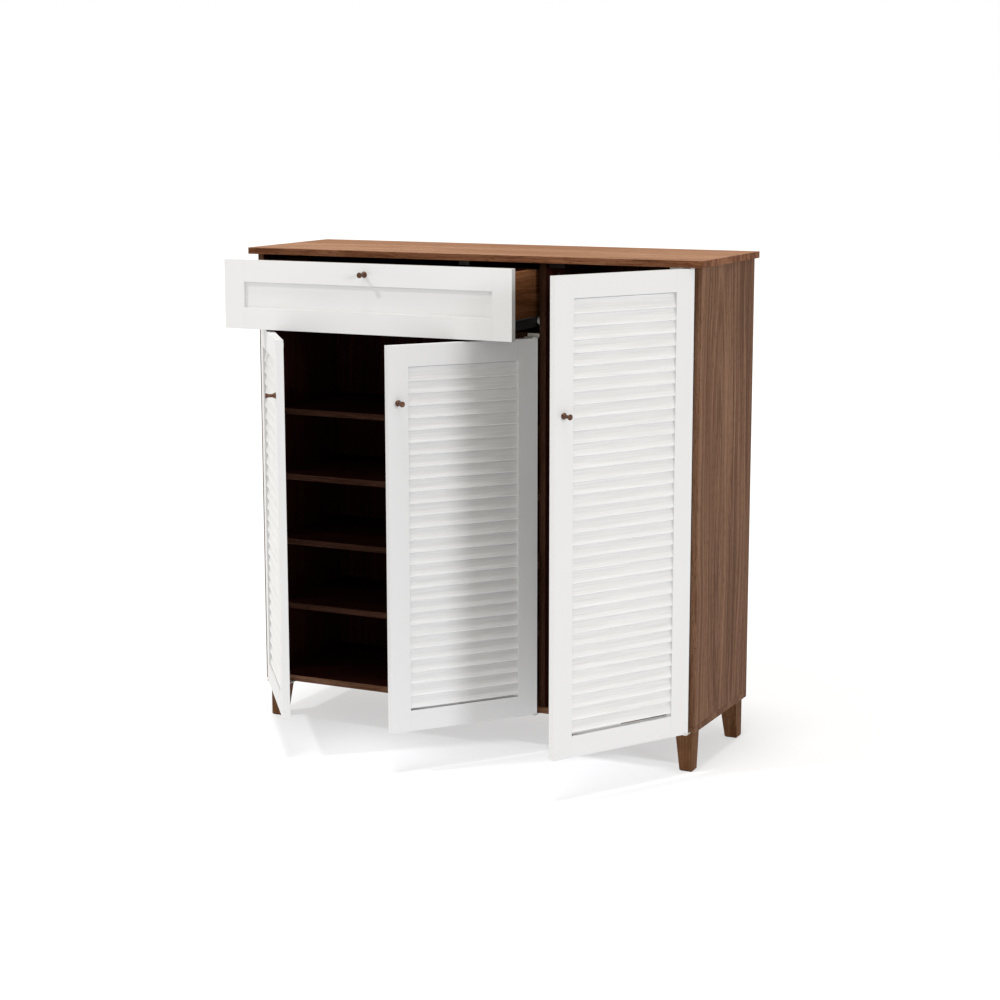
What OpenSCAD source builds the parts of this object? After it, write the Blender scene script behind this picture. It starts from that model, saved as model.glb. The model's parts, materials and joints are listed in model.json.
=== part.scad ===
/* [Carcass] */
// Width over the side panels
carcass_w = 1176; // [1100:1:1260]
// Depth from the front edge to the back edge
carcass_d = 361; // [350:1:420]
// Height of the top surface above the floor
overall_h = 1205; // [1202:1:1232]
// Thickness of the panels and boards
board_t = 16; // [15:1:18]
// Overhang of the top board at each side
top_side_over = 12; // [4:1:20]
// Overhang of the top board at the front
top_front_over = 27; // [26:1:40]
// Distance from the left outer face to the divider's centre plane
divider_at = 781; // [760:1:800]
// Height of the upper face of the board under the drawer
mid_board_top = 1024; // [1023:1:1025]
// Thickness of the back panel
back_t = 3; // [3:1:4]

/* [Shelves] */
// Thickness of a shelf
shelf_t = 15; // [14:1:16]
// Set-back of a shelf from the carcass front
shelf_setback = 20; // [15:1:40]
// Height of the lowest shelf's upper face
shelf_first = 300; // [282:1:312]
// Height from one shelf to the next
shelf_step = 167; // [160:1:168]
// Number of shelves behind the two small doors
left_shelves = 4; // [4:1:4]
// Number of shelves behind the tall door
right_shelves = 5; // [5:1:5]

/* [Legs] */
// Height of the legs with their glides
leg_h = 99; // [92:1:102]
// Width of a leg at the top
leg_top = 44; // [40:1:46]
// Width of a leg at the floor
leg_foot = 32; // [28:1:36]
// Set-back of a leg from the carcass faces
leg_inset = 8.5; // [6:0.5:12]

/* [Doors and drawer front] */
// Thickness of the doors and the drawer front
front_t = 18; // [18:1:20]
// Gap between neighbouring fronts
front_gap = 3; // [3:0.5:4]
// Gap between the closed fronts and the carcass
back_gap = 3; // [3:0.5:4]
// Set-back of the fronts from the carcass outer faces
reveal = 8; // [4:0.5:9]
// Distance from the left outer face to the middle of the gap beside the tall door
front_split = 779; // [777:0.5:783]
// Gap between the drawer front and the small doors
drawer_gap = 5; // [4:0.5:6]
// How far the drawer front runs past the left door's hinge edge
drawer_side_over = 4; // [0:0.5:4]
// Gap between the drawer front and the top board
drawer_top_gap = 5; // [3:0.5:7]
// Width of a stile
stile_w = 50.5; // [48:0.5:60]
// Height of a door's top rail
top_rail_h = 50.5; // [49:0.5:51]
// Height of a door's bottom rail
bottom_rail_h = 50; // [46:1:51]
// Height of the drawer front's two rails
drawer_rail_h = 52.5; // [48:0.5:56]
// Opening angle of the left door as stored
left_open = 52.75; // [0:0.25:95]
// Opening angle of the middle door as stored
middle_open = 52; // [0:1:95]
// Opening angle of the tall right door as stored
right_open = 60; // [0:1:95]
// Distance that the drawer stands open as stored
drawer_out = 140; // [0:1:240]

/* [Louvres] */
// Distance from one slat to the next
slat_pitch = 28.65; // [28.6:0.01:28.7]
// Width of a slat across its two round edges
slat_w = 34; // [31:0.5:34]
// Thickness of a slat
slat_t = 5; // [4:0.5:6]
// Tilt of a slat from the horizontal
slat_tilt = 74; // [72:1:75]
// Drop of the first slat's lower edge below the door's top
first_slat = 85; // [84:0.5:86]

/* [Hidden] */

walnut = [0.36, 0.24, 0.18];
white = [0.93, 0.93, 0.91];
bronze = [0.42, 0.27, 0.18];
steel = [0.62, 0.62, 0.60];
dark_metal = [0.12, 0.12, 0.12];
beech = [0.80, 0.66, 0.48];
nylon = [0.85, 0.85, 0.82];
black = [0.06, 0.06, 0.06];

round_fn = 48;
tiny = 0.05;

// Carcass frame: X from the middle of the width, Y from the middle of the depth, Z from the floor
left_x = -carcass_w / 2;
right_x = carcass_w / 2;
front_y = -carcass_d / 2;
back_y = carcass_d / 2;
floor_top = leg_h + board_t;
ceiling = overall_h - board_t;
div_x0 = left_x + divider_at - board_t / 2;
div_x1 = div_x0 + board_t;
bay_x0 = left_x + board_t;
bay_x1 = right_x - board_t;
back_in = back_y - back_t;
rebate_w = 10;

// Fronts
front_bottom = leg_h + 0.5;
front_top = ceiling - 2.5;
mid_gap_z = mid_board_top - 9;
small_door_top = mid_gap_z - drawer_gap / 2;
drawer_front_bottom = mid_gap_z + drawer_gap / 2;
drawer_front_top = ceiling - drawer_top_gap;
small_door_h = small_door_top - front_bottom;
tall_door_h = front_top - front_bottom;
front_x0 = left_x + reveal;
front_mid = left_x + front_split;
drawer_front_w = front_mid - front_gap / 2 - front_x0;
small_door_w = (drawer_front_w - front_gap) / 2;
tall_door_w = right_x - reveal - (front_mid + front_gap / 2);

// Pivot axis of a door, from its hinge edge and from its front face
pivot_in = 9;
pivot_deep = 0.5;
plate_front = 0.2 - pivot_deep;
plate_end = -4;
floor_plate_end = -5;
floor_plate_l = 66;
floor_plate_deep = 26;
floor_tab_x = 42;
floor_tab_deep = 60;
mid_plate_l = 26;
top_plate_l = 46;
flange_t = 1.5;
flange_h = 9;
ear_r = 2.8;
pivot_y = front_y - back_gap - front_t + pivot_deep;
left_pivot_x = front_x0 + pivot_in;
middle_pivot_x = front_x0 + drawer_front_w - pivot_in;
right_pivot_x = right_x - reveal - pivot_in;

// Door joinery and hardware
tenon_l = 20;
tenon_t = 8;
slat_tenon = 6;
slat_rise = (slat_w - slat_t) * sin(slat_tilt) + slat_t;
leaf_t = 3;
plate_t = 2;
leaf_gap = 0.5;
leaf_l = 36;
pin_r = 1.25;
pin_fit = 0.05;
knob_z = 880;
knob_in = 25;
knob_l = 24.5;
stud_r = 2;
stud_l = 14;
catch_w = 40;
catch_h = 12;
strike_t = 1.5;

// Drawer box and runners
side_gap = 13;
drawer_side_t = 12;
box_bottom = mid_board_top + 14;
box_top = box_bottom + 134;
box_l = 330;
box_x0 = bay_x0 + side_gap;
box_x1 = div_x0 - side_gap;
drawer_y = front_y - back_gap - drawer_out;
box_bottom_t = 4;
groove_z = box_bottom + 12;
groove_d = 6;
sheet_t = 1.2;
lip_z = box_bottom + 24;
roller_r = 9;
roller_w = 6;
axle_r = 2.5;
roller_gap = 0.3;
front_roller_y = front_y + 16;
front_roller_z = lip_z - sheet_t - roller_gap - roller_r;
channel_z = box_bottom - 5;
back_roller_y = drawer_y + box_l - 14;
back_roller_z = channel_z + sheet_t + roller_gap + roller_r;

// ---------------------------------------------------------------- helpers

module box(x0, x1, y0, y1, z0, z1) {
    translate([x0, y0, z0]) cube([x1 - x0, y1 - y0, z1 - z0]);
}

// Bar with round edges, drawn along X of its own sketch
module stadium(w, t) {
    square([w - t, t], center = true);
    for (side = [-1, 1]) translate([side * (w - t) / 2, 0]) circle(d = t, $fn = round_fn);
}

module rod_x(x0, x1, y, z, r) {
    translate([x0, y, z]) rotate([0, 90, 0]) cylinder(h = x1 - x0, r = r, $fn = round_fn);
}

module rod_z(x, y, z0, z1, r) {
    translate([x, y, z0]) cylinder(h = z1 - z0, r = r, $fn = round_fn);
}

// Outline of the knob: a foot flange, a slim waist and an outer flange
function knob_radius(s) = 4.3 + 3.2 * pow(abs(2 * s - 1), 2.2) - 0.5 * s;
knob_steps = 14;
module knob_body() {
    profile = [for (i = [0:knob_steps]) [knob_radius(i / knob_steps), i / knob_steps * knob_l]];
    rotate([90, 0, 0]) rotate_extrude($fn = round_fn)
        polygon(concat([[0, 0]], profile, [[0, knob_l]]));
    rotate([-90, 0, 0]) cylinder(h = stud_l, r = stud_r, $fn = round_fn);
}

// ---------------------------------------------------------------- fixings that cut the boards

pin_hole_r = 2.5;
pin_depth = 7;
pin_reach = 8;
pin_ys = [front_y + 60, back_y - 60];
function shelf_top(i) = shelf_first + shelf_step * i;

// Shelf pins of one bay, or their holes when grown
module bay_pins(x0, x1, count, grow) {
    for (i = [0:count - 1]) for (y = pin_ys) {
        z = shelf_top(i) - shelf_t - pin_hole_r;
        rod_x(x0 - pin_depth, x0 + pin_reach, y, z, pin_hole_r + grow);
        rod_x(x1 - pin_reach, x1 + pin_depth, y, z, pin_hole_r + grow);
    }
}

module all_pins(grow) {
    bay_pins(bay_x0, div_x0, left_shelves, grow);
    bay_pins(div_x1, bay_x1, right_shelves, grow);
}

dowel_r = 4;
dowel_half = 12;
dowel_ys = [front_y + 40, 0, back_y - 50];
upright_xs = [left_x + board_t / 2, (div_x0 + div_x1) / 2, right_x - board_t / 2];

// Dowels that locate each upright in the bottom and top boards
module all_dowels(grow) {
    for (x = upright_xs) for (y = dowel_ys) {
        rod_z(x, y, floor_top - dowel_half, floor_top + dowel_half, dowel_r + grow);
        rod_z(x, y, ceiling - dowel_half, ceiling + dowel_half, dowel_r + grow);
    }
    for (y = dowel_ys) {
        rod_x(bay_x0 - 8, bay_x0 + 16, y, mid_board_top - board_t / 2, dowel_r + grow);
        rod_x(div_x0 - 16, div_x0 + 8, y, mid_board_top - board_t / 2, dowel_r + grow);
    }
}

cam_r = 7.5;
cam_t = 12;
cam_bolt_r = 3;
cam_ys = [front_y + 72, back_y - 82];
cam_reach = 34;

// A cam in an upright's inner face; its bolt stands in the board beyond
module cam_set(x_face, inward, z_board, up, y, grow) {
    z = z_board - up * cam_reach;
    translate([x_face, y, z]) rotate([0, -inward * 90, 0])
        cylinder(h = cam_t + grow, r = cam_r + grow, $fn = round_fn);
    x_mid = x_face - inward * board_t / 2;
    bolt_z = z + up * (cam_r + 0.1);
    tip_z = z_board + up * 11;
    rod_z(x_mid, y, min(bolt_z, tip_z), max(bolt_z, tip_z), cam_bolt_r + grow);
}

module all_cams(grow) {
    for (y = cam_ys) {
        cam_set(bay_x0, 1, floor_top, -1, y, grow);
        cam_set(bay_x1, -1, floor_top, -1, y, grow);
        cam_set(div_x1, 1, floor_top, -1, y, grow);
        cam_set(bay_x0, 1, ceiling, 1, y, grow);
        cam_set(bay_x1, -1, ceiling, 1, y, grow);
        cam_set(div_x1, 1, ceiling, 1, y, grow);
    }
}

leg_mid = leg_inset + leg_top / 2;
bolt_r = 4;
bolt_up = 12;
bolt_down = 30;
module all_leg_bolts(grow) {
    for (sx = [-1, 1]) for (sy = [-1, 1])
        rod_z(sx * (right_x - leg_mid), sy * (back_y - leg_mid), leg_h - bolt_down - grow,
              leg_h + bolt_up + grow, bolt_r + grow);
}

bracket_xs = [(bay_x0 + div_x0) / 2, (div_x1 + bay_x1) / 2];
bracket_hole_r = 2.75;
bracket_hole_z = ceiling - 26;
module wall_holes() {
    for (x = bracket_xs) translate([x, back_in - 10, bracket_hole_z]) rotate([-90, 0, 0])
        cylinder(h = 20, r = bracket_hole_r, $fn = round_fn);
}

// ---------------------------------------------------------------- carcass

module top_board() {
    color(walnut) difference() {
        box(left_x - top_side_over, right_x + top_side_over, front_y - top_front_over, back_y,
            ceiling, overall_h);
        all_dowels(tiny);
        all_cams(tiny);
    }
}

module bottom_board() {
    color(walnut) difference() {
        box(left_x, right_x, front_y, back_y, leg_h, floor_top);
        box(left_x + board_t - rebate_w, right_x - board_t + rebate_w, back_in, back_y + 1,
            floor_top - rebate_w, floor_top + 1);
        all_dowels(tiny);
        all_cams(tiny);
        all_leg_bolts(tiny);
    }
}

module left_side_panel() {
    color(walnut) difference() {
        box(left_x, bay_x0, front_y, back_y, floor_top, ceiling);
        box(bay_x0 - rebate_w, bay_x0 + 1, back_in, back_y + 1, floor_top - 1, ceiling + 1);
        all_dowels(tiny);
        all_cams(tiny);
        all_pins(tiny);
    }
}

module right_side_panel() {
    color(walnut) difference() {
        box(bay_x1, right_x, front_y, back_y, floor_top, ceiling);
        box(bay_x1 - 1, bay_x1 + rebate_w, back_in, back_y + 1, floor_top - 1, ceiling + 1);
        all_dowels(tiny);
        all_cams(tiny);
        all_pins(tiny);
    }
}

module divider_panel() {
    color(walnut) difference() {
        box(div_x0, div_x1, front_y, back_in, floor_top, ceiling);
        all_dowels(tiny);
        all_cams(tiny);
        all_pins(tiny);
    }
}

module mid_board() {
    color(walnut) difference() {
        box(bay_x0, div_x0, front_y, back_in, mid_board_top - board_t, mid_board_top);
        all_dowels(tiny);
    }
}

module back_panel() {
    color(walnut) difference() {
        box(bay_x0 - rebate_w, bay_x1 + rebate_w, back_in, back_y, floor_top - rebate_w, ceiling);
        wall_holes();
    }
}

shelf_side_gap = 1;
module shelf(x0, x1, i) {
    color(walnut) box(x0 + shelf_side_gap, x1 - shelf_side_gap, front_y + shelf_setback,
                      back_in - 2, shelf_top(i) - shelf_t, shelf_top(i));
}

module left_shelf(i) { shelf(bay_x0, div_x0, i); }
module right_shelf(i) { shelf(div_x1, bay_x1, i); }

glide_t = 2;
// Leg under the front right corner: its two inner faces taper towards the floor
module leg_shape() {
    outline = [[0, glide_t], [leg_foot, glide_t], [leg_top, leg_h], [0, leg_h]];
    intersection() {
        translate([0, leg_top, 0]) rotate([90, 0, 0]) linear_extrude(leg_top)
            translate([leg_top, 0]) mirror([1, 0]) polygon(outline);
        rotate([90, 0, 90]) linear_extrude(leg_top) polygon(outline);
    }
}

module leg(sx, sy) {
    color(walnut) difference() {
        mirror([sx < 0 ? 1 : 0, 0, 0]) mirror([0, sy > 0 ? 1 : 0, 0])
            translate([right_x - leg_inset - leg_top, front_y + leg_inset, 0]) leg_shape();
        all_leg_bolts(tiny);
    }
}

module leg_bolts() { color(steel) all_leg_bolts(0); }

module leg_glides() {
    pad = leg_foot - 4;
    for (sx = [-1, 1]) for (sy = [-1, 1])
        color(black) translate([sx * (right_x - leg_inset - leg_foot / 2) - pad / 2,
                                sy * (back_y - leg_inset - leg_foot / 2) - pad / 2, 0])
            cube([pad, pad, glide_t]);
}

module shelf_pins() { color(steel) all_pins(0); }
module panel_dowels() { color(beech) all_dowels(0); }
module cam_fasteners() { color(steel) all_cams(0); }

bracket_w = 30;
bracket_h = 40;
bracket_t = 2;
module wall_brackets() {
    for (x = bracket_xs) color(steel) difference() {
        union() {
            box(x - bracket_w / 2, x + bracket_w / 2, back_in - bracket_t, back_in,
                ceiling - bracket_h, ceiling);
            box(x - bracket_w / 2, x + bracket_w / 2, back_in - bracket_h, back_in,
                ceiling - bracket_t, ceiling);
        }
        wall_holes();
    }
}

// ---------------------------------------------------------------- door pivots

// Plan of the plate under the bottom board, drawn for a left-hand door about its pivot
module floor_plate_plan() {
    circle(r = ear_r, $fn = round_fn);
    square_from(floor_plate_end, floor_plate_l, plate_front, floor_plate_deep);
    square_from(floor_tab_x, floor_plate_l, plate_front, floor_tab_deep);
}

module square_from(x0, x1, y0, y1) { translate([x0, y0]) square([x1 - x0, y1 - y0]); }

module floor_bracket(x, hand) {
    translate([x, pivot_y, leg_h - plate_t]) mirror([hand > 0 ? 0 : 1, 0, 0]) difference() {
        linear_extrude(plate_t) floor_plate_plan();
        cylinder(h = 20, r = pin_r, center = true, $fn = round_fn);
    }
}

// Angle bracket on the front edge of the mid board, for the top of a small door
module mid_bracket(x, hand) {
    reach = front_y - pivot_y;
    z0 = small_door_top + leaf_gap;
    translate([x, pivot_y, z0]) mirror([hand > 0 ? 0 : 1, 0, 0]) difference() {
        union() {
            linear_extrude(plate_t) square_from(plate_end, mid_plate_l, plate_front, reach);
            cylinder(h = plate_t, r = ear_r, $fn = round_fn);
            box(plate_end, mid_plate_l, reach - flange_t, reach, 0, flange_h);
        }
        cylinder(h = 20, r = pin_r, center = true, $fn = round_fn);
    }
}

// Flat plate under the overhang of the top board, for the tall door
module top_bracket(x, hand) {
    translate([x, pivot_y, ceiling - plate_t]) mirror([hand > 0 ? 0 : 1, 0, 0]) difference() {
        linear_extrude(plate_t) union() {
            circle(r = ear_r, $fn = round_fn);
            square_from(plate_end, top_plate_l, plate_front, front_y - pivot_y - 0.5);
        }
        cylinder(h = 20, r = pin_r, center = true, $fn = round_fn);
    }
}

module hinge_brackets() {
    color(dark_metal) {
        floor_bracket(left_pivot_x, 1);
        floor_bracket(middle_pivot_x, -1);
        floor_bracket(right_pivot_x, -1);
        mid_bracket(left_pivot_x, 1);
        mid_bracket(middle_pivot_x, -1);
        top_bracket(right_pivot_x, -1);
    }
}

pin_bite = leaf_t - 0.2;
module hinge_pins() {
    color(steel) {
        for (x = [left_pivot_x, middle_pivot_x, right_pivot_x])
            rod_z(x, pivot_y, leg_h - plate_t, front_bottom + pin_bite, pin_r);
        for (x = [left_pivot_x, middle_pivot_x])
            rod_z(x, pivot_y, small_door_top - pin_bite, small_door_top + leaf_gap + plate_t, pin_r);
        rod_z(right_pivot_x, pivot_y, front_top - pin_bite, ceiling, pin_r);
    }
}

catch_l = 30;
module catch_body(x, z_top) {
    box(x - catch_w / 2, x + catch_w / 2, front_y - 1, front_y + catch_l, z_top - catch_h, z_top);
}

small_catch_in = stile_w / 2;
left_catch_x = front_x0 + small_door_w - small_catch_in;
middle_catch_x = left_catch_x + front_gap + 2 * small_catch_in;
right_catch_x = front_mid + front_gap / 2 + small_catch_in + 12;
module door_catches() {
    color(nylon) {
        catch_body(left_catch_x, mid_board_top - board_t);
        catch_body(middle_catch_x, mid_board_top - board_t);
        catch_body(right_catch_x, ceiling);
    }
}

// ---------------------------------------------------------------- doors
// A door is drawn about its pivot, hinge edge at the left, front towards -Y, closed.

leaf_y0 = -pivot_deep;
leaf_y1 = front_t - pivot_deep;

module placed_door(x, hand, angle) {
    translate([x, pivot_y, front_bottom]) rotate([0, 0, -hand * angle])
        mirror([hand > 0 ? 0 : 1, 0, 0]) translate([-pivot_in, 0, 0]) children();
}

function slat_count(h) = floor((h - first_slat - bottom_rail_h) / slat_pitch) + 1;

module slat_row(w, h, x0, x1, grow) {
    for (i = [0:slat_count(h) - 1])
        translate([x0, leaf_y0 + front_t / 2, h - first_slat - i * slat_pitch + slat_rise / 2])
            rotate([90, 0, 90]) linear_extrude(x1 - x0) rotate(slat_tilt)
                stadium(slat_w + 2 * grow, slat_t + 2 * grow);
}

module leaf_plan() {
    translate([pivot_in, 0]) circle(r = ear_r, $fn = round_fn);
    square_from(pivot_in - 4, pivot_in + leaf_l, leaf_y0 + 0.5, leaf_y0 + 13);
}

module rail_tenons(w, z0, z1, grow) {
    for (x = [stile_w - tenon_l, w - stile_w - grow])
        box(x, x + tenon_l + grow, leaf_y0 + (front_t - tenon_t) / 2 - grow,
            leaf_y0 + (front_t + tenon_t) / 2 + grow, z0 + 8 - grow, z1 - 8 + grow);
}

module door_stiles(w, h) {
    color(white) difference() {
        for (x = [0, w - stile_w]) box(x, x + stile_w, leaf_y0, leaf_y1, 0, h);
        rail_tenons(w, 0, bottom_rail_h, 0);
        rail_tenons(w, h - top_rail_h, h, 0);
        slat_row(w, h, stile_w - slat_tenon, w - stile_w + slat_tenon, tiny);
        for (z = [-1, h - leaf_t]) translate([0, 0, z]) linear_extrude(leaf_t + 1) leaf_plan();
        translate([w - knob_in, leaf_y0 - 1, knob_z - front_bottom]) rotate([-90, 0, 0])
            cylinder(h = stud_l + 1.2, r = stud_r + tiny, $fn = round_fn);
    }
}

module door_rails(w, h) {
    color(white) {
        box(stile_w, w - stile_w, leaf_y0, leaf_y1, 0, bottom_rail_h);
        rail_tenons(w, 0, bottom_rail_h, 0);
        box(stile_w, w - stile_w, leaf_y0, leaf_y1, h - top_rail_h, h);
        rail_tenons(w, h - top_rail_h, h, 0);
    }
}

module door_slats(w, h) {
    color(white) slat_row(w, h, stile_w - slat_tenon, w - stile_w + slat_tenon, 0);
}

module door_knob(w) {
    color(bronze) translate([w - knob_in, leaf_y0, knob_z - front_bottom]) knob_body();
}

module door_leaves(h) {
    color(steel) for (z = [0, h - leaf_t]) translate([0, 0, z]) difference() {
        linear_extrude(leaf_t) leaf_plan();
        translate([pivot_in, 0, -1]) cylinder(h = leaf_t + 2, r = pin_r + pin_fit, $fn = round_fn);
    }
}

module door_strike(x, h) {
    color(steel) box(x - catch_w / 2 + 4, x + catch_w / 2 - 4, leaf_y1, leaf_y1 + strike_t,
                     h - catch_h - 6, h - 8);
}

module left_door() { placed_door(left_pivot_x, 1, left_open) children(); }
module middle_door() { placed_door(middle_pivot_x, -1, middle_open) children(); }
module right_door() { placed_door(right_pivot_x, -1, right_open) children(); }

module left_door_stiles() { left_door() door_stiles(small_door_w, small_door_h); }
module left_door_rails() { left_door() door_rails(small_door_w, small_door_h); }
module left_door_slats() { left_door() door_slats(small_door_w, small_door_h); }
module left_door_knob() { left_door() door_knob(small_door_w); }
module left_door_hinge_leaves() { left_door() door_leaves(small_door_h); }
module left_door_strike_plate() {
    left_door() door_strike(small_door_w - small_catch_in, small_door_h);
}

module middle_door_stiles() { middle_door() door_stiles(small_door_w, small_door_h); }
module middle_door_rails() { middle_door() door_rails(small_door_w, small_door_h); }
module middle_door_slats() { middle_door() door_slats(small_door_w, small_door_h); }
module middle_door_knob() { middle_door() door_knob(small_door_w); }
module middle_door_hinge_leaves() { middle_door() door_leaves(small_door_h); }
module middle_door_strike_plate() {
    middle_door() door_strike(small_door_w - small_catch_in, small_door_h);
}

module right_door_stiles() { right_door() door_stiles(tall_door_w, tall_door_h); }
module right_door_rails() { right_door() door_rails(tall_door_w, tall_door_h); }
module right_door_slats() { right_door() door_slats(tall_door_w, tall_door_h); }
module right_door_knob() { right_door() door_knob(tall_door_w); }
module right_door_hinge_leaves() { right_door() door_leaves(tall_door_h); }
module right_door_strike_plate() {
    right_door() door_strike(tall_door_w - small_catch_in - 12, tall_door_h);
}

// ---------------------------------------------------------------- drawer

drawer_front_x1 = front_x0 + drawer_front_w;
drawer_face_y = drawer_y - front_t;
panel_setback = 7;
panel_t = 6;
panel_bite = 8;
knob_rail_z = drawer_front_top - 25;

module drawer_tenons(z0, z1) {
    for (x = [front_x0 + stile_w - tenon_l, drawer_front_x1 - stile_w])
        box(x, x + tenon_l, drawer_face_y + panel_setback, drawer_face_y + panel_setback + panel_t,
            z0 + 8, z1 - 8);
}

module drawer_panel_solid(grow) {
    box(front_x0 + stile_w - panel_bite, drawer_front_x1 - stile_w + panel_bite,
        drawer_face_y + panel_setback - grow, drawer_face_y + panel_setback + panel_t + grow,
        drawer_front_bottom + drawer_rail_h - panel_bite, drawer_front_top - drawer_rail_h + panel_bite);
}

module drawer_stiles() {
    color(white) difference() {
        for (span = [[front_x0 - drawer_side_over, front_x0 + stile_w],
                     [drawer_front_x1 - stile_w, drawer_front_x1]])
            box(span[0], span[1], drawer_face_y, drawer_y, drawer_front_bottom, drawer_front_top);
        drawer_tenons(drawer_front_bottom, drawer_front_bottom + drawer_rail_h);
        drawer_tenons(drawer_front_top - drawer_rail_h, drawer_front_top);
        drawer_panel_solid(0);
    }
}

module drawer_rails() {
    x0 = front_x0 + stile_w;
    x1 = drawer_front_x1 - stile_w;
    color(white) difference() {
        union() {
            box(x0, x1, drawer_face_y, drawer_y, drawer_front_bottom,
                drawer_front_bottom + drawer_rail_h);
            box(x0, x1, drawer_face_y, drawer_y, drawer_front_top - drawer_rail_h, drawer_front_top);
            drawer_tenons(drawer_front_bottom, drawer_front_bottom + drawer_rail_h);
            drawer_tenons(drawer_front_top - drawer_rail_h, drawer_front_top);
        }
        drawer_panel_solid(0);
        translate([(x0 + x1) / 2, drawer_face_y - 1, knob_rail_z]) rotate([-90, 0, 0])
            cylinder(h = stud_l + 1.2, r = stud_r + tiny, $fn = round_fn);
    }
}

module drawer_front_panel() { color(white) drawer_panel_solid(0); }

module drawer_base_solid() {
    box(box_x0 + drawer_side_t - groove_d, box_x1 - drawer_side_t + groove_d, drawer_y,
        drawer_y + box_l, groove_z, groove_z + box_bottom_t);
}

module drawer_left_side() {
    color(walnut) difference() {
        box(box_x0, box_x0 + drawer_side_t, drawer_y, drawer_y + box_l, box_bottom, box_top);
        drawer_base_solid();
    }
}

module drawer_right_side() {
    color(walnut) difference() {
        box(box_x1 - drawer_side_t, box_x1, drawer_y, drawer_y + box_l, box_bottom, box_top);
        drawer_base_solid();
    }
}

module drawer_back() {
    color(walnut) box(box_x0 + drawer_side_t, box_x1 - drawer_side_t,
                      drawer_y + box_l - drawer_side_t, drawer_y + box_l,
                      groove_z + box_bottom_t, box_top - 12);
}

module drawer_bottom() { color(walnut) drawer_base_solid(); }

module drawer_knob() {
    color(bronze) translate([(front_x0 + drawer_front_x1) / 2, drawer_face_y, knob_rail_z])
        knob_body();
}

// A runner is drawn at the left of the drawer and mirrored for the right
drawer_mid_x = (box_x0 + box_x1) / 2;
module both_sides() {
    children();
    translate([2 * drawer_mid_x, 0, 0]) mirror([1, 0, 0]) children();
}

roller_x0 = box_x0 - 9.5;
roller_x1 = roller_x0 + roller_w;
runner_l = 325;

module cabinet_runners() {
    color(dark_metal) both_sides() {
        box(bay_x0, bay_x0 + sheet_t, front_y + 2, front_y + 2 + runner_l, channel_z, lip_z + 2);
        box(bay_x0 + sheet_t, box_x0 - 2.2, front_y + 30, front_y + 2 + runner_l, channel_z,
            channel_z + sheet_t);
        rod_x(bay_x0 + sheet_t, roller_x1 + 0.6, front_roller_y, front_roller_z, axle_r);
    }
}

module cabinet_rollers() {
    color(nylon) both_sides() difference() {
        rod_x(roller_x0, roller_x1, front_roller_y, front_roller_z, roller_r);
        rod_x(roller_x0 - 1, roller_x1 + 1, front_roller_y, front_roller_z, axle_r + pin_fit);
    }
}

module drawer_runners() {
    color(dark_metal) both_sides() {
        box(box_x0 - sheet_t, box_x0, drawer_y, drawer_y + box_l, box_bottom - sheet_t, lip_z);
        box(box_x0 - 10.5, box_x0 - sheet_t, drawer_y + 2, drawer_y + box_l - 26, lip_z - sheet_t,
            lip_z);
        box(box_x0, box_x0 + drawer_side_t, drawer_y, drawer_y + box_l, box_bottom - sheet_t,
            box_bottom);
        rod_x(roller_x0 - 0.6, box_x0 - sheet_t, back_roller_y, back_roller_z, axle_r);
    }
}

module drawer_rollers() {
    color(nylon) both_sides() difference() {
        rod_x(roller_x0, roller_x1, back_roller_y, back_roller_z, roller_r);
        rod_x(roller_x0 - 1, roller_x1 + 1, back_roller_y, back_roller_z, axle_r + pin_fit);
    }
}

// ---------------------------------------------------------------- nodes

top_board();
bottom_board();
left_side_panel();
right_side_panel();
divider_panel();
mid_board();
back_panel();
left_shelf(0);  // left_shelf_1
left_shelf(1);  // left_shelf_2
left_shelf(2);  // left_shelf_3
left_shelf(3);  // left_shelf_4
right_shelf(0);  // right_shelf_1
right_shelf(1);  // right_shelf_2
right_shelf(2);  // right_shelf_3
right_shelf(3);  // right_shelf_4
right_shelf(4);  // right_shelf_5
leg(-1, -1);  // front_left_leg
leg(1, -1);  // front_right_leg
leg(-1, 1);  // back_left_leg
leg(1, 1);  // back_right_leg
leg_bolts();
leg_glides();
shelf_pins();
panel_dowels();
cam_fasteners();
wall_brackets();
hinge_brackets();
hinge_pins();
door_catches();
cabinet_runners();
cabinet_rollers();
drawer_stiles();
drawer_rails();
drawer_front_panel();
drawer_left_side();
drawer_right_side();
drawer_back();
drawer_bottom();
drawer_knob();
drawer_runners();
drawer_rollers();
left_door_stiles();
left_door_rails();
left_door_slats();
left_door_knob();
left_door_hinge_leaves();
left_door_strike_plate();
middle_door_stiles();
middle_door_rails();
middle_door_slats();
middle_door_knob();
middle_door_hinge_leaves();
middle_door_strike_plate();
right_door_stiles();
right_door_rails();
right_door_slats();
right_door_knob();
right_door_hinge_leaves();
right_door_strike_plate();
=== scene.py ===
"""Looks of the shoe cabinet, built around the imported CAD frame."""
import json
import math
import random

import bmesh
import bpy
from mathutils import Matrix, Vector

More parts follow.
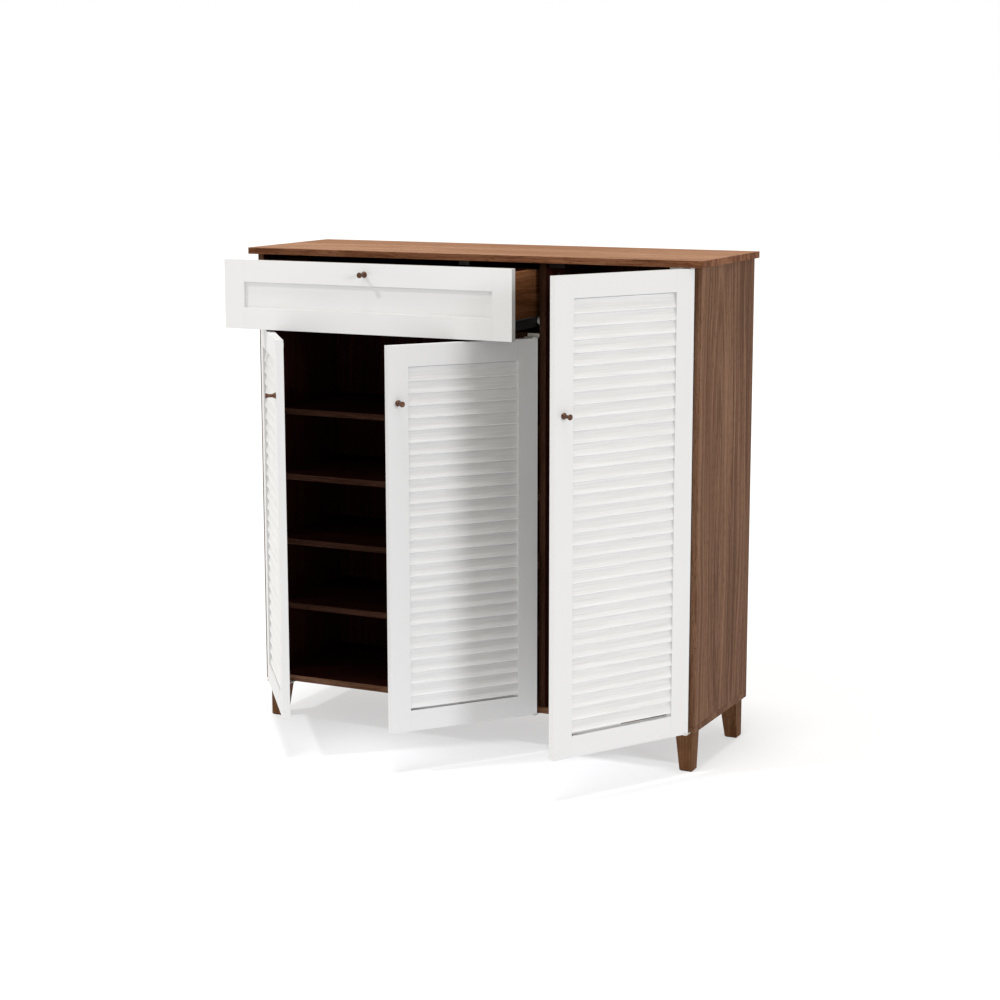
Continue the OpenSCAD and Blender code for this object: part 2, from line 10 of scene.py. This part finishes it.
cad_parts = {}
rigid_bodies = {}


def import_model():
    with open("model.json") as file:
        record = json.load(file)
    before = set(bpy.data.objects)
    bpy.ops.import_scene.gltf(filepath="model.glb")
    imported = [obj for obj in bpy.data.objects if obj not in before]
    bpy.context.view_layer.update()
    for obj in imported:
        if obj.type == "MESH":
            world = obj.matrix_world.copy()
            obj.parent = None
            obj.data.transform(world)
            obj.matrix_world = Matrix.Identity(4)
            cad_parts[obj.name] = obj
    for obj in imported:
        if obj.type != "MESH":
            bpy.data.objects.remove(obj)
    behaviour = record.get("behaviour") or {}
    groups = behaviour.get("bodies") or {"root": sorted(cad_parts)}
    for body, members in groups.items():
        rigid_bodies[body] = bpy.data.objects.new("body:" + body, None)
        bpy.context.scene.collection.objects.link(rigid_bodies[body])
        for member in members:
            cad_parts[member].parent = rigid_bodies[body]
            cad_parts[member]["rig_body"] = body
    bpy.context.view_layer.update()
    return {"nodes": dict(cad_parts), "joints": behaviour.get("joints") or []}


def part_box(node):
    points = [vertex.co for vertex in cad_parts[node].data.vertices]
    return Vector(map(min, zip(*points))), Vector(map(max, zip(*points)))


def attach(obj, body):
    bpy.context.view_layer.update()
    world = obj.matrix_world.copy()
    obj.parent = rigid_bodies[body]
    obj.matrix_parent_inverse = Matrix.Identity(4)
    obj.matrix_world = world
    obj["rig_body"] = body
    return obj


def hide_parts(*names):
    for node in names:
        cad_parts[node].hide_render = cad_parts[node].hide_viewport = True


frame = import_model()
nodes = frame["nodes"]
rng = random.Random(7)
scene = bpy.context.scene

X, Y, Z = Vector((1, 0, 0)), Vector((0, 1, 0)), Vector((0, 0, 1))
MM = 0.001

# ------------------------------------------------------------------ node helpers


class Nodes:
    """Short calls that add the nodes of a shader graph."""

    def __init__(self, tree):
        self.tree = tree

    def add(self, kind, **values):
        node = self.tree.nodes.new(kind)
        for key, value in values.items():
            if hasattr(node, key):
                setattr(node, key, value)
        return node

    def link(self, a, b):
        self.tree.links.new(a, b)

    def coords(self, scale=(1, 1, 1)):
        source = self.add("ShaderNodeTexCoord")
        mapping = self.add("ShaderNodeMapping")
        mapping.inputs["Scale"].default_value = scale
        self.link(source.outputs["Object"], mapping.inputs["Vector"])
        return mapping.outputs["Vector"]

    def noise(self, vector, scale, detail, rough):
        node = self.add("ShaderNodeTexNoise")
        node.inputs["Scale"].default_value = scale
        node.inputs["Detail"].default_value = detail
        node.inputs["Roughness"].default_value = rough
        self.link(vector, node.inputs["Vector"])
        return node.outputs["Fac"]

    def ramp(self, value, stops):
        node = self.add("ShaderNodeValToRGB")
        ramp = node.color_ramp
        while len(ramp.elements) < len(stops):
            ramp.elements.new(0.5)
        for element, (place, colour) in zip(ramp.elements, stops):
            element.position = place
            if not isinstance(colour, (tuple, list)):
                colour = (colour, colour, colour)
            element.color = (*colour, 1)
        self.link(value, node.inputs["Fac"])
        return node.outputs["Color"]

    def math(self, operation, a, b=None, c=None):
        """Maths node; each operand is a number or an output."""
        node = self.add("ShaderNodeMath", operation=operation)
        for socket, value in zip(node.inputs, (a, b, c)):
            if value is None:
                continue
            if isinstance(value, (int, float)):
                socket.default_value = value
            else:
                self.link(value, socket)
        return node.outputs[0]

    def mix(self, a, b, factor, blend="MIX"):
        """Blend of two colours; each input is a number, a colour or an output."""
        node = self.add("ShaderNodeMix", data_type="RGBA", blend_type=blend)
        for socket, value in ((node.inputs[0], factor), (node.inputs[6], a), (node.inputs[7], b)):
            if isinstance(value, (int, float)):
                socket.default_value = value
            elif isinstance(value, tuple):
                socket.default_value = (*value, 1)
            else:
                self.link(value, socket)
        return node.outputs[2]

    def bump(self, height, strength, distance, normal=None):
        node = self.add("ShaderNodeBump")
        node.inputs["Strength"].default_value = strength
        node.inputs["Distance"].default_value = distance
        self.link(height, node.inputs["Height"])
        if normal is not None:
            self.link(normal, node.inputs["Normal"])
        return node.outputs["Normal"]


def material(name, **fixed):
    """A new principled material; fixed numbers go straight on the shader's sockets."""
    mat = bpy.data.materials.new(name)
    mat.use_nodes = True
    shader = mat.node_tree.nodes["Principled BSDF"]
    for key, value in fixed.items():
        socket = shader.inputs[key.replace("_", " ")]
        socket.default_value = (*value, 1) if isinstance(value, tuple) else value
    return mat, Nodes(mat.node_tree), shader


TONE_SPREAD = 0.10  # half the range of grain tones that runs from dark to light
DRIFT = 0.075       # how far the figure wanders sideways, in metres
ARCH = 0.085        # slope of the cathedral arches along the grain


def walnut(name, dark, mid, light, rough=0.5, gloss=0.02):
    """Matt veneer: grain along local X, cathedral figure across local Y, own seed along Z."""
    mat, n, shader = material(name, Specular_IOR_Level=gloss)
    drift = n.noise(n.coords((1.6, 9, 9)), 1.0, 3, 0.5)
    split = n.add("ShaderNodeSeparateXYZ")
    n.link(n.coords(), split.inputs[0])
    along, across, seed = split.outputs
    bent = n.math("MULTIPLY_ADD", n.math("SUBTRACT", drift, 0.5), DRIFT, across)
    rings = n.math("SQRT", n.math("ADD", n.math("MULTIPLY", bent, bent),
                                  n.math("POWER", n.math("MULTIPLY", along, ARCH), 2)))

    def streaks(width, length, source, detail=3, rough=0.6, deep=1):
        """Noise drawn out along the grain; width and length in mm."""
        vector = n.add("ShaderNodeCombineXYZ")
        n.link(n.math("DIVIDE", source, width * MM), vector.inputs[0])
        n.link(n.math("DIVIDE", along, length * MM), vector.inputs[1])
        n.link(n.math("DIVIDE", seed, deep * width * MM), vector.inputs[2])
        return n.noise(vector.outputs[0], 1.0, detail, rough)

    figure = streaks(15, 2400, rings, deep=8)
    lines = streaks(4.2, 420, bent)
    fine = streaks(1.5, 160, bent)
    pores = streaks(0.7, 22, bent, 2, 0.5)
    broad = streaks(85, 900, bent, 2, 0.5, deep=4)
    tone = n.math("MULTIPLY_ADD", figure, 0.42, n.math("MULTIPLY", lines, 0.36))
    tone = n.math("MULTIPLY_ADD", fine, 0.22, tone)
    tone = n.math("MULTIPLY_ADD", n.math("SUBTRACT", broad, 0.5), 0.30, tone)
    colour = n.ramp(tone, [(0.5 - TONE_SPREAD, dark), (0.5, mid), (0.5 + TONE_SPREAD, light)])
    pore_mask = n.ramp(pores, [(0.33, 0.0), (0.42, 1.0)])
    colour = n.mix(tuple(c * 0.55 for c in dark), colour, pore_mask)
    n.link(colour, shader.inputs["Base Color"])
    n.link(n.math("MULTIPLY_ADD", tone, 0.16, rough - 0.08), shader.inputs["Roughness"])
    normal = n.bump(pore_mask, 0.25, 0.00012)
    normal = n.bump(fine, 0.18, 0.00010, normal)
    n.link(normal, shader.inputs["Normal"])
    return mat


def paint(name, colour, brushed=0.0):
    """Sprayed satin paint over wood: faint orange peel, long marks, a little tone drift."""
    mat, n, shader = material(name, Specular_IOR_Level=0.45)
    drift = n.noise(n.coords((2.5, 6, 6)), 1.0, 3, 0.5)
    base = n.ramp(drift, [(0.3, tuple(c * 0.985 for c in colour)), (0.7, colour)])
    peel = n.noise(n.coords(), 420, 3, 0.55)
    marks = n.noise(n.coords((9, 520, 520)), 1.0, 3, 0.6)
    if brushed:
        streak = n.noise(n.coords((7, 330, 330)), 1.0, 3, 0.6)
        lift = n.math("MULTIPLY_ADD", n.math("SUBTRACT", streak, 0.5), brushed, 1.0)
        base = n.mix(base, lift, 1.0, "MULTIPLY")
    n.link(base, shader.inputs["Base Color"])
    n.link(n.math("MULTIPLY_ADD", peel, 0.10, 0.33), shader.inputs["Roughness"])
    normal = n.bump(marks, 0.10, 0.00008)
    normal = n.bump(peel, 0.12, 0.00010, normal)
    n.link(normal, shader.inputs["Normal"])
    return mat


def metal(name, colour, rough, grain, strength):
    """Brushed metal; grain stretches the brushing."""
    mat, n, shader = material(name, Metallic=1.0)
    brush = n.noise(n.coords(grain), 300, 4, 0.6)
    cloud = n.noise(n.coords(), 60, 3, 0.5)
    base = n.ramp(cloud, [(0.3, tuple(c * 0.85 for c in colour)), (0.7, colour)])
    n.link(base, shader.inputs["Base Color"])
    n.link(n.math("MULTIPLY_ADD", brush, 0.18, rough - 0.09), shader.inputs["Roughness"])
    n.link(n.bump(brush, strength, 0.00015), shader.inputs["Normal"])
    return mat


def moulded(name, colour, rough, scale, strength, **fixed):
    """Moulded plastic, powder coat or felt, by the size and depth of its texture."""
    mat, n, shader = material(name, **fixed)
    cells = n.noise(n.coords(), scale, 5, 0.6)
    base = n.ramp(cells, [(0.3, tuple(c * 0.85 for c in colour)), (0.7, colour)])
    n.link(base, shader.inputs["Base Color"])
    n.link(n.math("MULTIPLY_ADD", cells, 0.2, rough - 0.1), shader.inputs["Roughness"])
    n.link(n.bump(cells, strength, 0.0002), shader.inputs["Normal"])
    return mat


WALNUT = walnut("walnut_veneer", (0.084, 0.037, 0.020), (0.150, 0.075, 0.043),
                (0.222, 0.120, 0.075))
# Lighter copy of the veneer for the top face: painted light, standing in for the brighter light that
# falls on the top
WALNUT_TOP_LIT = walnut("walnut_veneer_top_lit", (0.255, 0.130, 0.075), (0.345, 0.190, 0.121),
                    (0.435, 0.255, 0.170), gloss=0.0)
WALNUT_EDGE = walnut("walnut_edging", (0.080, 0.028, 0.013), (0.165, 0.066, 0.032),
                     (0.260, 0.118, 0.064))
WALNUT_SOLID = walnut("walnut_legs", (0.078, 0.033, 0.015), (0.122, 0.056, 0.027),
                      (0.172, 0.086, 0.046))
WALNUT_DARK = walnut("walnut_shaded_edging", (0.020, 0.0085, 0.0045), (0.038, 0.0165, 0.0090),
                     (0.060, 0.028, 0.016))
# Shelf front edges are a darker copy of the veneer: painted shade for the shade inside the bays
WALNUT_SHELF_SHADED = walnut("walnut_shelf_edging_shaded", (0.034, 0.014, 0.0090), (0.062, 0.027, 0.0175),
                      (0.095, 0.045, 0.030))
WALNUT_DRAWER = walnut("walnut_drawer", (0.107, 0.038, 0.0140), (0.170, 0.066, 0.0270),
                       (0.243, 0.102, 0.0470))
# Near-black walnut for faces inside the bays and for undersides: painted shade, not a real laminate
INNER_SHADE = walnut("inner_painted_shade", (0.022, 0.0052, 0.0034), (0.036, 0.0092, 0.0062),
               (0.052, 0.0145, 0.0100), rough=0.6, gloss=0.05)
WHITE = paint("white_satin_paint", (0.690, 0.692, 0.703))
# The slat paint is a little lighter than the frame's white: painted light that lifts the shade
# between the slats; the brush streaks are real marks
WHITE_SLAT = paint("white_slat_paint", (0.728, 0.730, 0.738), brushed=0.34)
WHITE_METAL = moulded("white_powder_coat", (0.70, 0.70, 0.68), 0.45, 900, 0.12,
                      Specular_IOR_Level=0.35)
BRONZE = metal("brushed_bronze", (0.135, 0.070, 0.047), 0.42, (1, 1, 8), 0.12)
STEEL = metal("zinc_steel", (0.55, 0.55, 0.54), 0.34, (1, 12, 12), 0.08)
DARK_METAL = moulded("dark_powder_coat", (0.022, 0.022, 0.023), 0.48, 900, 0.2)
DARK_PLASTIC = moulded("dark_moulded_plastic", (0.010, 0.006, 0.005), 0.55, 700, 0.1,
                       Specular_IOR_Level=0.12)
NYLON = moulded("matt_nylon", (0.62, 0.62, 0.58), 0.45, 500, 0.08)
FELT = moulded("dark_felt", (0.020, 0.017, 0.015), 0.95, 1400, 0.9, Sheen_Weight=0.5)
BEECH = walnut("raw_beech", (0.42, 0.28, 0.16), (0.50, 0.35, 0.21), (0.56, 0.41, 0.26), rough=0.6)

# ------------------------------------------------------------------ rebuilt CAD pieces


SHARP_EDGE = math.radians(35)


def axes(x, y):
    """Rotation whose columns are the local axes x, y and x cross y."""
    z = x.cross(y)
    return Matrix(((x[0], y[0], z[0]), (x[1], y[1], z[1]), (x[2], y[2], z[2]))).to_4x4()


ALONG_X = axes(X, Y)
ALONG_Y = axes(Y, Z)
ALONG_Z = axes(Z, Y)
BACK_Z = axes(Z, X)


def local_frame(rotation, middle):
    """Rotation about the piece's middle, pushed far along local Z so that no two share a grain."""
    along, across, out = (rotation.to_3x3().col[i] for i in range(3))
    origin = (middle + along * rng.uniform(-0.25, 0.25) + across * rng.uniform(-0.05, 0.05)
              + out * rng.uniform(1, 9))
    return Matrix.Translation(origin) @ rotation


def finish_mesh(node, bm, matrix, mats, smooth=40):
    """Turns a mesh in world space into the piece that stands in for a CAD node."""
    name = "v_" + node
    mesh = bpy.data.meshes.new(name)
    bm.to_mesh(mesh)
    bm.free()
    mesh.transform(matrix.inverted())
    for mat in mats:
        mesh.materials.append(mat)
    mesh.shade_smooth()
    mesh.set_sharp_from_angle(angle=math.radians(smooth))
    obj = bpy.data.objects.new(name, mesh)
    obj.matrix_world = matrix
    scene.collection.objects.link(obj)
    weighted = obj.modifiers.new("even_normals", "WEIGHTED_NORMAL")
    weighted.keep_sharp = True
    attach(obj, nodes[node]["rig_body"])
    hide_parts(node)


def clean_copy(node):
    """The node's mesh with flat faces made whole again."""
    bm = bmesh.new()
    bm.from_mesh(nodes[node].data)
    bmesh.ops.remove_doubles(bm, verts=bm.verts, dist=2e-6)
    bmesh.ops.dissolve_limit(bm, angle_limit=math.radians(0.6), verts=bm.verts, edges=bm.edges)
    return bm


def rebuilt(node, rotation, mats, bevel, segments, pick=None):
    """A CAD piece with eased edges (bevel in mm) and its own grain; pick gives a face's material."""
    bm = clean_copy(node)
    if bevel:
        edges = [e for e in bm.edges if len(e.link_faces) == 2
                 and e.calc_face_angle(0) > SHARP_EDGE
                 and e.calc_length() > 3 * bevel * MM]
        bmesh.ops.bevel(bm, geom=edges, offset=bevel * MM, segments=segments, profile=0.6,
                        affect="EDGES", clamp_overlap=True)
    bm.normal_update()
    if pick:
        for face in bm.faces:
            face.material_index = pick(face)
    low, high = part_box(node)
    matrix = local_frame(rotation, (Vector(low) + Vector(high)) / 2)
    finish_mesh(node, bm, matrix, mats)


# Carcass: outer faces and front edges are veneered; inner faces, the level faces of boards and
# shelves and the top board's underside take a near-black walnut that paints in the shade
SKIN = [WALNUT, INNER_SHADE]


def inner_if(test):
    return lambda face: 1 if test(face.normal) else 0


def level_face(normal):
    return abs(normal.z) > 0.9


# Top face takes the lighter veneer (painted light), the underside the near-black painted shade, the
# edges the edging
rebuilt("top_board", ALONG_X, [WALNUT_TOP_LIT, INNER_SHADE, WALNUT_EDGE], 0.8, 3,
        lambda face: 1 if face.normal.z < -0.9 else 2 if face.normal.z < 0.5 else 0)
rebuilt("bottom_board", ALONG_X, SKIN, 0.5, 2, inner_if(level_face))
rebuilt("left_side_panel", ALONG_Z, SKIN, 0.5, 2, inner_if(lambda n: n.x > 0.9))
rebuilt("right_side_panel", ALONG_Z, SKIN, 0.5, 2, inner_if(lambda n: n.x < -0.9))
rebuilt("divider_panel", ALONG_Z, [WALNUT_DARK, INNER_SHADE], 0.5, 2,
        inner_if(lambda n: abs(n.x) > 0.9))
rebuilt("mid_board", ALONG_X, [WALNUT_DARK, INNER_SHADE], 0.5, 2, inner_if(level_face))
rebuilt("back_panel", BACK_Z, SKIN, 0.3, 1, inner_if(lambda n: n.y < -0.9))
for name in [n for n in nodes if "_shelf_" in n]:
    rebuilt(name, ALONG_X, [WALNUT_SHELF_SHADED, INNER_SHADE], 0.5, 2, inner_if(level_face))
for name in ("front_left_leg", "front_right_leg", "back_left_leg", "back_right_leg"):
    rebuilt(name, ALONG_Z, [WALNUT_SOLID], 1.2, 3)

# Drawer
for name in ("drawer_left_side", "drawer_right_side"):
    rebuilt(name, ALONG_Y, [WALNUT_DRAWER], 0.8, 2)
rebuilt("drawer_back", ALONG_X, [WALNUT_DRAWER], 0.8, 2)
rebuilt("drawer_bottom", ALONG_X, [WALNUT_DRAWER], 0, 1)
rebuilt("drawer_stiles", ALONG_Z, [WHITE], 0.5, 2)
rebuilt("drawer_rails", ALONG_X, [WHITE], 0.5, 2)
rebuilt("drawer_front_panel", ALONG_X, [WHITE], 0, 1)

# Doors: their own axes follow the angle at which each one stands open
joints = {j["name"]: j for j in frame["joints"]}
DOORS = {"left_door": 1, "middle_door": 0, "right_door": 0}
door_turn = {}
for door, end in DOORS.items():
    closing = joints[door + "_hinge"]["range_deg"][end]
    door_turn[door] = Matrix.Rotation(math.radians(-closing), 4, "Z")
for door, turn in door_turn.items():
    spin = turn.to_3x3()
    across, deep = spin @ X, spin @ Y
    rebuilt(door + "_stiles", axes(Z, deep), [WHITE], 0.5, 2)
    rebuilt(door + "_rails", axes(across, deep), [WHITE], 0.5, 2)
    rebuilt(door + "_slats", axes(across, deep), [WHITE_SLAT], 0, 1)
    rebuilt(door + "_hinge_leaves", axes(across, deep), [WHITE_METAL], 0, 1)
    rebuilt(door + "_strike_plate", axes(across, deep), [STEEL], 0.3, 2)

# Fixings
rebuilt("leg_bolts", ALONG_Z, [STEEL], 0.3, 1)
rebuilt("leg_glides", ALONG_X, [FELT], 0.4, 2)
rebuilt("shelf_pins", ALONG_X, [DARK_METAL], 0.5, 2)
rebuilt("panel_dowels", ALONG_Z, [BEECH], 0.6, 1)
rebuilt("cam_fasteners", ALONG_Y, [DARK_METAL], 0.3, 2)
rebuilt("wall_brackets", ALONG_X, [STEEL], 0.3, 2)
rebuilt("hinge_brackets", ALONG_X, [WHITE_METAL], 0.3, 2)
rebuilt("hinge_pins", ALONG_Z, [STEEL], 0.3, 2)
rebuilt("door_catches", ALONG_X, [DARK_PLASTIC], 0.8, 3)
rebuilt("cabinet_runners", ALONG_Y, [DARK_METAL], 0.2, 1)
rebuilt("drawer_runners", ALONG_Y, [DARK_METAL], 0.2, 1)
rebuilt("cabinet_rollers", ALONG_X, [NYLON], 0.5, 2)
rebuilt("drawer_rollers", ALONG_X, [NYLON], 0.5, 2)

# ------------------------------------------------------------------ knobs (sizes in mm)

KNOB_L = 24.5
FOOT_R = 7.5
WAIST_R = 4.0
CAP_R = 6.8
RIM_R = 0.9
DISH = 0.35
DISH_R = 4.6
WAIST_STEPS = 12
WAIST_POWER = 2.6
KNOB_TURNS = 64


def rim(radius, height, first, last):
    """Rounded rim of a flange: radius and height in mm for each 30 degrees from first to last."""
    turns = [math.radians(a) for a in range(first, last + 1, 30)]
    return [(radius - RIM_R + RIM_R * math.cos(a), height + RIM_R * math.sin(a)) for a in turns]


def knob_profile():
    """Radius and height in mm: round foot flange, slender waist, round outer flange, dished face."""
    foot = rim(FOOT_R, RIM_R, -90, 60)
    cap = rim(CAP_R, KNOB_L - RIM_R, -60, 90)
    (low_r, low_h), (high_r, high_h) = foot[-1], cap[0]
    waist = []
    for step in range(1, WAIST_STEPS):
        t = step / WAIST_STEPS
        edge_r = low_r if t < 0.5 else high_r
        waist.append((WAIST_R + (edge_r - WAIST_R) * abs(2 * t - 1) ** WAIST_POWER,
                      low_h + (high_h - low_h) * t))
    return [(0.0, 0.0), *foot, *waist, *cap, (DISH_R, KNOB_L - DISH / 2), (0.0, KNOB_L - DISH)]


def knob(node, outward):
    points = [v.co for v in nodes[node].data.vertices]
    tip = max(p.dot(outward) for p in points)
    flat = [p - outward * p.dot(outward) for p in points]
    middle = Vector(((min(p[i] for p in flat) + max(p[i] for p in flat)) / 2 for i in range(3)))
    base = middle + outward * (tip - KNOB_L * MM)
    side = Z.cross(outward).normalized()
    matrix = Matrix.Translation(base) @ axes(side, outward.cross(side))
    bm = bmesh.new()
    rings = []
    for radius, height in knob_profile():
        if radius == 0:
            rings.append([bm.verts.new((0, 0, height * MM))])
            continue
        rings.append([bm.verts.new((radius * MM * math.cos(a), radius * MM * math.sin(a),
                                    height * MM))
                      for a in (2 * math.pi * k / KNOB_TURNS for k in range(KNOB_TURNS))])
    for low, high in zip(rings, rings[1:]):
        for k in range(KNOB_TURNS):
            m = (k + 1) % KNOB_TURNS
            if len(low) == 1:
                bm.faces.new((low[0], high[m], high[k]))
            elif len(high) == 1:
                bm.faces.new((low[k], low[m], high[0]))
            else:
                bm.faces.new((low[k], low[m], high[m], high[k]))
    bmesh.ops.transform(bm, matrix=matrix, verts=bm.verts)
    finish_mesh(node, bm, matrix, [BRONZE], 60)


knob("drawer_knob", -Y)
for door, turn in door_turn.items():
    knob(door + "_knob", turn.to_3x3() @ -Y)

# ------------------------------------------------------------------ stage, light and camera

FLOOR_SIZE = 120
bpy.ops.mesh.primitive_plane_add(size=FLOOR_SIZE, location=(0, 0, 0))
floor = bpy.context.object
floor.name = "floor"
floor_mat = material("studio_floor", Base_Color=(0.440, 0.448, 0.472), Roughness=0.9,
                     Specular_IOR_Level=0.1, Emission_Color=(1.0, 1.0, 1.0),
                     Emission_Strength=0.54)[0]
floor.data.materials.append(floor_mat)

world = bpy.data.worlds.new("studio")
scene.world = world
world.use_nodes = True
# The camera sees a white sky, and the cabinet is lit by a dimmer, warmer one
SKY_LIGHT = (0.56, 0.530, 0.445)
backdrop = world.node_tree.nodes["Background"]
backdrop.inputs["Strength"].default_value = 1.0
sky = Nodes(world.node_tree)
seen = sky.add("ShaderNodeLightPath").outputs["Is Camera Ray"]
sky.link(sky.mix(SKY_LIGHT, (1.0, 1.0, 1.0), seen), backdrop.inputs["Color"])


def soft_sun(name, azimuth, elevation, irradiance, spread, colour=(1, 1, 1)):
    """Distant soft light, by the direction towards it (azimuth from +X towards +Y) in degrees."""
    data = bpy.data.lights.new(name, "SUN")
    data.energy = math.pi * irradiance
    data.angle = math.radians(spread)
    data.color = colour
    light = bpy.data.objects.new(name, data)
    turn, rise = math.radians(azimuth), math.radians(elevation)
    towards = Vector((math.cos(turn) * math.cos(rise), math.sin(turn) * math.cos(rise),
                      math.sin(rise)))
    light.rotation_euler = towards.to_track_quat("Z", "Y").to_euler()
    scene.collection.objects.link(light)


soft_sun("overhead", -92, 82, 0.52, 16)
soft_sun("left_key", -138, 46, 0.37, 5)
soft_sun("right_key", -29, 10, 0.31, 13, (0.98, 0.99, 1.04))

CAMERA_PLACE = (2.3124, -4.7872, 1.5388)
YAW, PITCH, ROLL = math.radians(25.95), math.radians(10.26), math.radians(-0.08)
forward = Vector((-math.sin(YAW) * math.cos(PITCH), math.cos(YAW) * math.cos(PITCH),
                  -math.sin(PITCH)))
level = Vector((math.cos(YAW), math.sin(YAW), 0))
down = forward.cross(level)
right = level * math.cos(ROLL) - down * math.sin(ROLL)
down = level * math.sin(ROLL) + down * math.cos(ROLL)
camera_data = bpy.data.cameras.new("camera")
camera_data.lens = 77.82
camera_data.sensor_width = 36
camera_data.shift_x = 0.0039
camera_data.shift_y = 0.0016
camera_data.clip_end = 200
camera = bpy.data.objects.new("camera", camera_data)
scene.collection.objects.link(camera)
camera.matrix_world = Matrix.Translation(CAMERA_PLACE) @ axes(right, -down)
scene.camera = camera
scene.view_settings.view_transform = "Standard"
